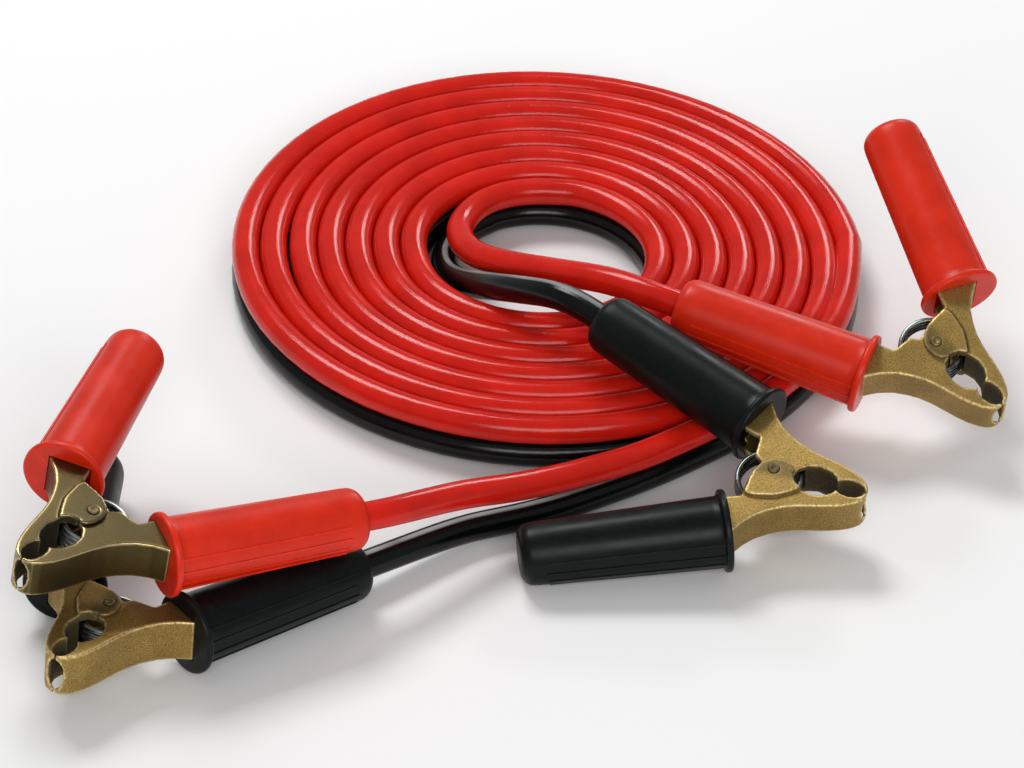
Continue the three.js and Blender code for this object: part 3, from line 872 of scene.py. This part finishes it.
class JUMPER_OT_grips(bpy.types.Operator):
    """Moulds the grips with their flanges and fine raised lines"""

    bl_idname = "jumper.grips"
    bl_label = "Grips"

    def execute(self, context):
        sizes = context.scene.jumper_clamp
        colours = context.scene.jumper_colours
        materials = {
            "red": material_once("red_moulding", grip_material, colours.red_grip, 0.3),
            "black": material_once("black_moulding", grip_material, colours.black_grip, 0.17),
        }
        taper = (sizes.grip_front - sizes.grip_end) / 2 / GRIP_LENGTH
        first_seed = {1: 8, -1: 2}
        for side, half in ((1, "cable_grip"), (-1, "free_grip")):
            body = self.body(sizes, side)
            for clamp in CLAMP_NAMES:
                shade = clamp.split("_")[0]
                work = new_object("grip_work", body.copy())
                made = run_nodes(work, group_once("grip_ribs", rib_group), count=sizes.rib_count,
                                 radius=sizes.grip_front / 2 - 0.1 * MM, taper=taper,
                                 seed=first_seed[side] + CLAMP_NAMES.index(clamp),
                                 material=materials[shade])
                drop(work)
                made.transform(clamp_matrix(clamp) @ grip_matrix(side))
                shade_smooth(made)
                made.set_sharp_from_angle(angle=math.radians(38))
                store_edge_wear_and_highlight(made)
                obj = new_object(f"{clamp}_{half}_moulding", made)
                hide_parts(f"{clamp}_{half}")
                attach(obj, ROOT_BODY if side > 0 else f"{clamp}_free_half")
            bpy.data.meshes.remove(body)
        return {"FINISHED"}

    def body(self, sizes, side):
        flange, front, end = sizes.flange / 2, sizes.grip_front / 2, sizes.grip_end / 2
        edge = 1.0 * MM
        thick = 2.8 * MM
        profile = [(0, r) for r in (0, 3 * MM, 8 * MM, flange - 2 * edge)]
        profile += rounded_corner(edge, flange - edge, edge, 180, 90)
        profile += rounded_corner(thick - edge, flange - edge, edge, 90, 0)
        profile += [(thick, front + 0.8 * MM), (thick + 0.25 * MM, front + 0.25 * MM)]
        stations = np.linspace(3.6 * MM, GRIP_LENGTH - 7 * MM, 28)
        profile += [(s, front + (end - front) * s / GRIP_LENGTH) for s in stations]
        round_end = 5.2 * MM
        profile += rounded_corner(GRIP_LENGTH - round_end, end - round_end, round_end, 82, 0, 8)
        if side > 0:
            bore, bore_floor = 6.0 * MM, GRIP_LENGTH - 6 * MM
            profile += [(GRIP_LENGTH, bore + 0.5 * MM), (GRIP_LENGTH - 0.35 * MM, bore),
                        (bore_floor, bore), (bore_floor, 0)]
        else:
            profile += [(GRIP_LENGTH, 0)]
        mesh = lathe("grip_body", profile, 96)
        obj = new_object("grip_cut", mesh)
        pocket = self.pocket()
        cut = obj.modifiers.new("Pocket", "BOOLEAN")
        cut.operation = "DIFFERENCE"
        cut.object = pocket
        cut.solver = "EXACT"
        made = evaluated_mesh(obj)
        drop(obj, pocket)
        return made

    def pocket(self):
        """The slot in a grip's front face that the brass neck goes into."""
        low, high = -10.75 * MM, 6.55 * MM
        length, width = 7 * MM, 18 * MM
        bm = bmesh.new()
        bmesh.ops.create_cube(bm, size=1)
        for v in bm.verts:
            v.co = Vector((v.co.x * length, (low + high) / 2 + v.co.y * (high - low),
                           v.co.z * width))
        mesh = bpy.data.meshes.new("pocket")
        bm.to_mesh(mesh)
        bm.free()
        return new_object("pocket", mesh)


class JUMPER_OT_springs(bpy.types.Operator):
    """Coils the torsion springs round the rivets"""

    bl_idname = "jumper.springs"
    bl_label = "Springs"

    LEG_ANGLE = math.radians(138.3)
    LEG_LENGTH = 20 * MM
    MIDDLE = -1.7 * MM
    TURNS = 3
    PITCH = 2.6 * MM
    STEPS_A_TURN = 36

    def execute(self, context):
        sizes = context.scene.jumper_clamp
        zinc = material_once("zinc_plate", zinc_material)
        first = self.LEG_ANGLE - math.pi / 2
        sweep = self.TURNS * 2 * math.pi + 2 * first
        height = self.PITCH * sweep / (2 * math.pi)
        steps = round(self.STEPS_A_TURN * sweep / (2 * math.pi))
        angles = first - np.linspace(0, sweep, steps)
        turns = np.column_stack([self.MIDDLE + sizes.spring_radius * np.cos(angles),
                                 sizes.spring_radius * np.sin(angles),
                                 np.linspace(-height / 2, height / 2, steps)])
        leg = self.LEG_LENGTH * np.array([math.cos(self.LEG_ANGLE), math.sin(self.LEG_ANGLE), 0])
        ways = np.linspace(1, 0.1, 8)[:, None]
        points = np.vstack([turns[0] + ways * leg, turns,
                            turns[-1] + ways[::-1] * leg * np.array([1, -1, 1])])
        for clamp in CLAMP_NAMES:
            place = clamp_matrix(clamp)
            world = [place @ Vector(p) for p in points]
            mesh = swept_bar(f"{clamp}_coil_spring", world, sizes.spring_wire / 2, 16, zinc)
            obj = new_object(f"{clamp}_coil_spring", mesh)
            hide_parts(f"{clamp}_spring")
            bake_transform(obj)
        return {"FINISHED"}


class JUMPER_OT_rivets(bpy.types.Operator):
    """Peens the rivets that join the halves"""

    bl_idname = "jumper.rivets"
    bl_label = "Rivets"

    def execute(self, context):
        metal = material_once("peened_pin", rivet_material)
        outside = 10.5 * MM
        head = 2.3 * MM
        rise = 0.5 * MM
        pin = 1.7 * MM
        half = [(outside, pin), (outside, head - 0.1 * MM), (outside + 0.15 * MM, head),
                (outside + 0.45 * rise, head - 0.15 * MM), (outside + 0.9 * rise, head - 0.5 * MM),
                (outside + rise, head - 0.9 * MM), (outside + 0.7 * rise, 0.9 * MM),
                (outside + 0.1 * rise, 0.5 * MM), (outside, 0)]
        profile = [(-x, r) for x, r in half[::-1]] + half
        local = lathe("rivet_body", profile, 40)
        local.transform(Matrix.Rotation(-math.pi / 2, 4, "Y"))
        shade_smooth(local)
        local.materials.append(metal)
        for clamp in CLAMP_NAMES:
            mesh = local.copy()
            mesh.transform(clamp_matrix(clamp))
            obj = new_object(f"{clamp}_peened_rivet", mesh)
            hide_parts(f"{clamp}_rivet")
            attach(obj, ROOT_BODY)
        bpy.data.meshes.remove(local)
        return {"FINISHED"}


def area_light(name, place, target, size, power):
    data = bpy.data.lights.new(name, "AREA")
    data.shape = "RECTANGLE"
    data.size, data.size_y = size
    data.energy = power
    obj = new_object(name, data)
    obj.location = place
    obj.rotation_euler = (Vector(target) - Vector(place)).to_track_quat("-Z", "Y").to_euler()


class JUMPER_OT_stage(bpy.types.Operator):
    """Sets the camera, a pale floor and soft studio light"""

    bl_idname = "jumper.stage"
    bl_label = "Stage"

    def execute(self, context):
        look = context.scene.jumper_stage
        self.camera(context, look)
        floor = bpy.data.meshes.new("floor")
        reach = 6
        floor.from_pydata([(-reach, -reach, 0), (reach, -reach, 0), (reach, reach, 0),
                           (-reach, reach, 0)], [], [(0, 1, 2, 3)])
        floor_object = new_object("floor", floor)
        floor_object.location.z = -0.05 * MM
        material, _, shader = new_material("studio_floor")
        shader.inputs["Roughness"].default_value = 0.9
        shader.inputs["Base Color"].default_value = (0.93, 0.93, 0.93, 1)
        floor.materials.append(material)
        target = (0, 0.08, 0.02)
        area_light("key", (-0.5, 0.9, 1.5), target, (0.8, 0.5), look.key_light)
        area_light("fill", (0.2, -1.5, 1.1), target, (1.3, 0.7), look.key_light * 0.95)
        area_light("back", (0.5, 1.5, 0.8), target, (0.5, 0.25), look.key_light * 0.25)
        world = bpy.data.worlds.new("studio")
        world.use_nodes = True
        world.node_tree.nodes["Background"].inputs[0].default_value = (1, 1, 1, 1)
        world.node_tree.nodes["Background"].inputs[1].default_value = 0.30
        context.scene.world = world
        context.scene.view_settings.view_transform = "Standard"
        return {"FINISHED"}

    def camera(self, context, look):
        data = bpy.data.cameras.new("camera")
        data.sensor_width = 36
        data.sensor_fit = "HORIZONTAL"
        data.lens = look.focal_pixels * data.sensor_width / 1024
        data.clip_end = 50
        obj = new_object("camera", data)
        e, roll = look.elevation, look.roll
        aside = Vector((-10.084 * MM, -69.093 * MM, 0))
        target = Vector((*SPIRAL_CENTRE, 0)) + aside
        forward = Vector((0, math.cos(e), -math.sin(e)))
        level = Vector((1, 0, 0))
        upright = Vector((0, math.sin(e), math.cos(e)))
        right = level * math.cos(roll) + upright * math.sin(roll)
        up = -level * math.sin(roll) + upright * math.cos(roll)
        m = Matrix((right, up, -forward)).transposed().to_4x4()
        m.translation = target - forward * look.distance
        obj.matrix_world = m
        context.scene.camera = obj


OPERATORS = (JUMPER_OT_stage, JUMPER_OT_conductors, JUMPER_OT_brass, JUMPER_OT_grips,
             JUMPER_OT_springs, JUMPER_OT_rivets)


class JUMPER_PT_panel(bpy.types.Panel):
    """Lists the sizes, the colours and the pieces"""

    bl_idname = "JUMPER_PT_panel"
    bl_label = "Jumper Cable"
    bl_space_type = "VIEW_3D"
    bl_region_type = "UI"
    bl_category = "Jumper Cable"

    def draw(self, context):
        scene = context.scene
        for group in (scene.jumper_cable, scene.jumper_clamp, scene.jumper_colours,
                      scene.jumper_stage):
            box = self.layout.box()
            for name in group.bl_rna.properties.keys():
                if name not in {"rna_type", "name"}:
                    box.prop(group, name)
        for operator in OPERATORS:
            self.layout.operator(operator.bl_idname)


GROUPS = {
    "jumper_cable": CableSizes,
    "jumper_clamp": ClampSizes,
    "jumper_colours": CableColours,
    "jumper_stage": StageLook,
}


def register():
    for made in (*GROUPS.values(), *OPERATORS, JUMPER_PT_panel):
        bpy.utils.register_class(made)
    for name, group in GROUPS.items():
        setattr(bpy.types.Scene, name, bpy.props.PointerProperty(type=group))


def unregister():
    for name in GROUPS:
        delattr(bpy.types.Scene, name)
    for made in reversed((*GROUPS.values(), *OPERATORS, JUMPER_PT_panel)):
        bpy.utils.unregister_class(made)


def main():
    register()
    for operator in OPERATORS:
        group, name = operator.bl_idname.split(".")
        getattr(getattr(bpy.ops, group), name)()


if __name__ == "__main__":
    main()
